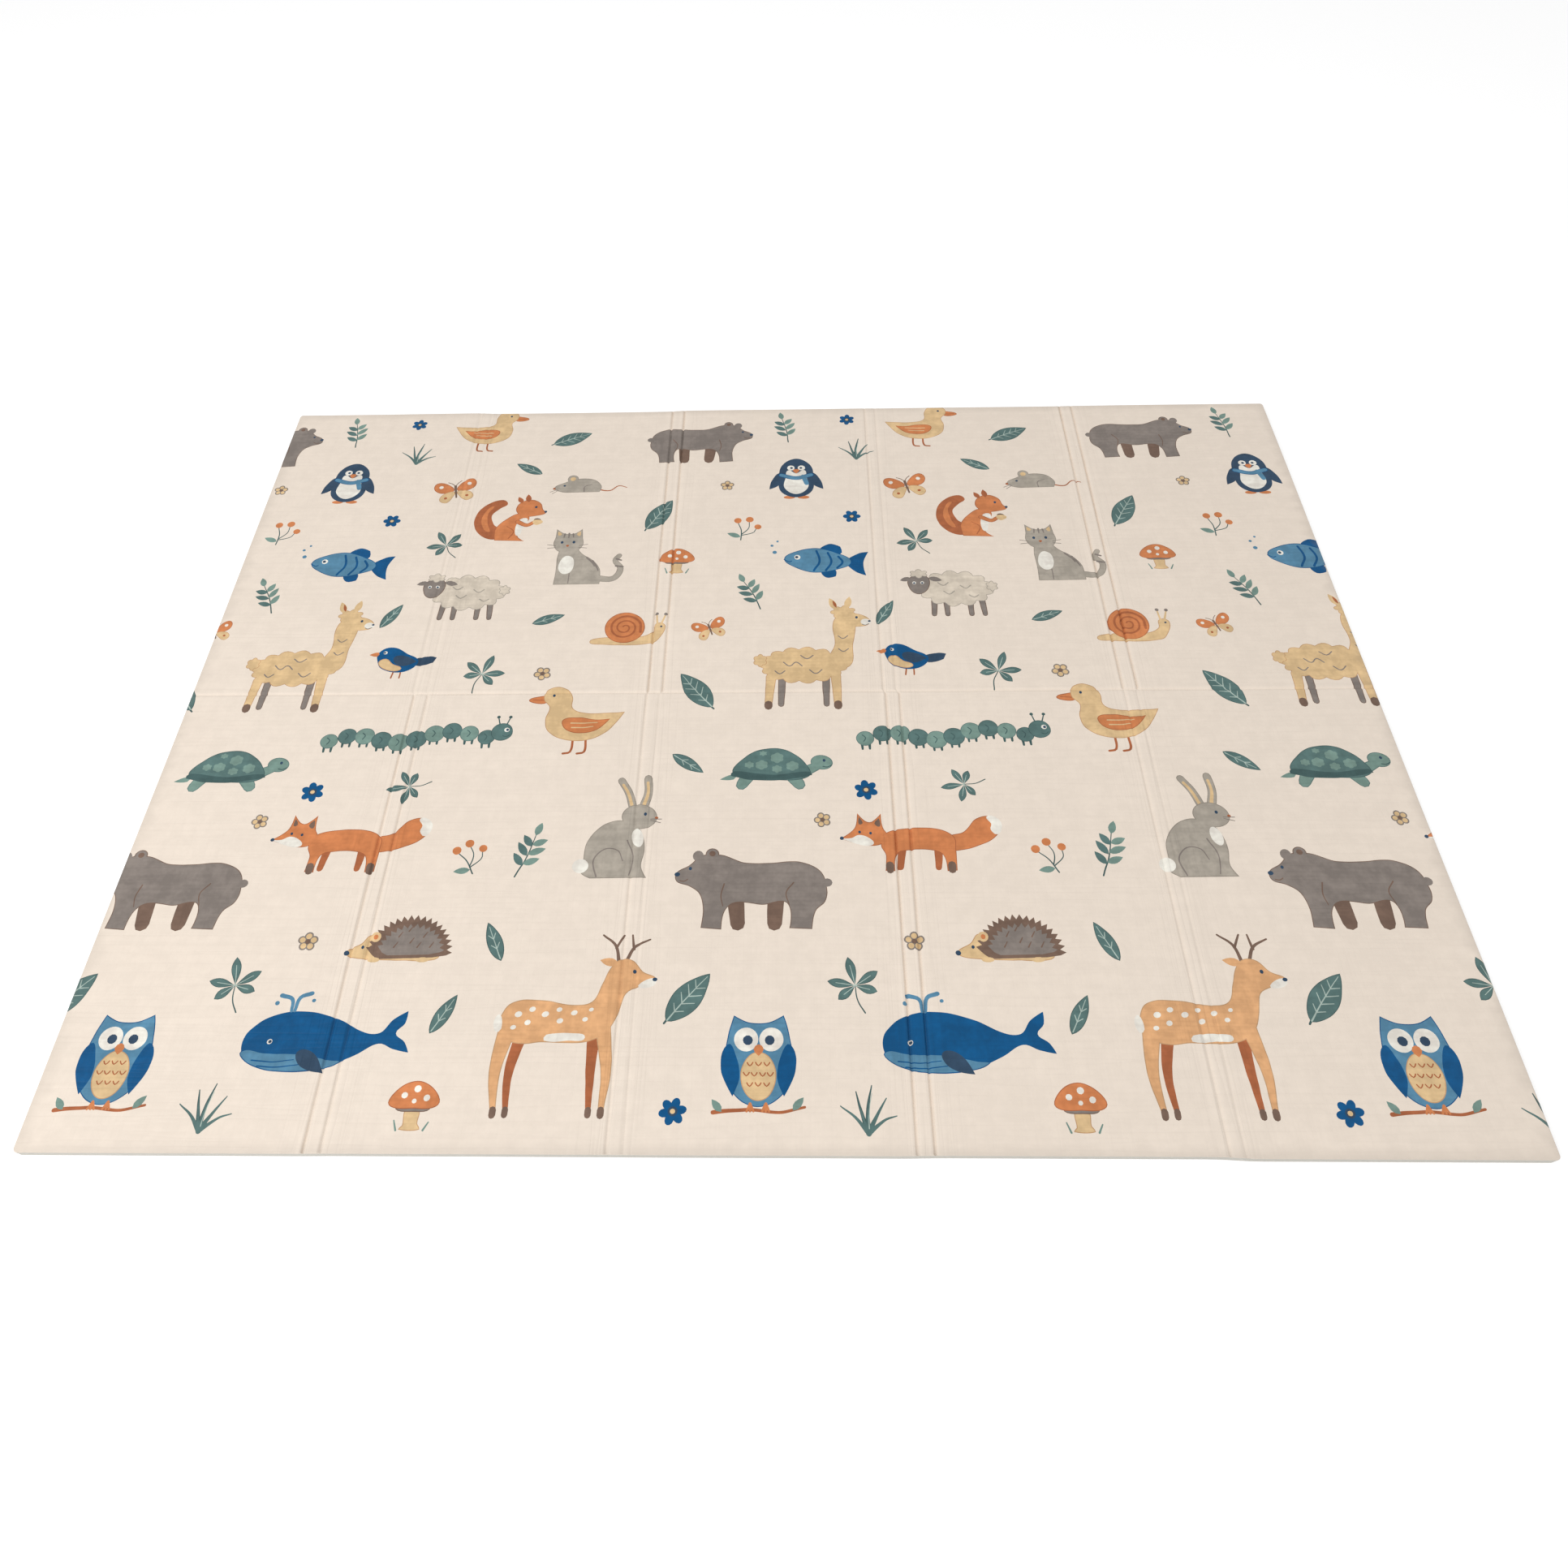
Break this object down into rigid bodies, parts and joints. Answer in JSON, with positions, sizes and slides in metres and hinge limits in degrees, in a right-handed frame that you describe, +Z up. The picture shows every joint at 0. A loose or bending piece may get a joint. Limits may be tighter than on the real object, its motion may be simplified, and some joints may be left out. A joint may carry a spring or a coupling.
{
  "type": "baby play mat",
  "caption": "Foldable foam baby play mat lying open and flat, with pressed fold lines and a printed top film.",
  "frame": {"origin": "on the underside, under the middle of the opened mat", "axes": "+X from the left to the right end along the long side, +Y from the front to the back edge, +Z up out of the printed face"},
  "size_m": [2, 1.5028, 0.0154],
  "materials": {
    "printed_film": "satin printed film, finely embossed, cream ground with small motifs, over closed-cell foam"
  },
  "bodies": {
    "root": {"play_mat": "printed_film"}
  },
  "joints": []
}
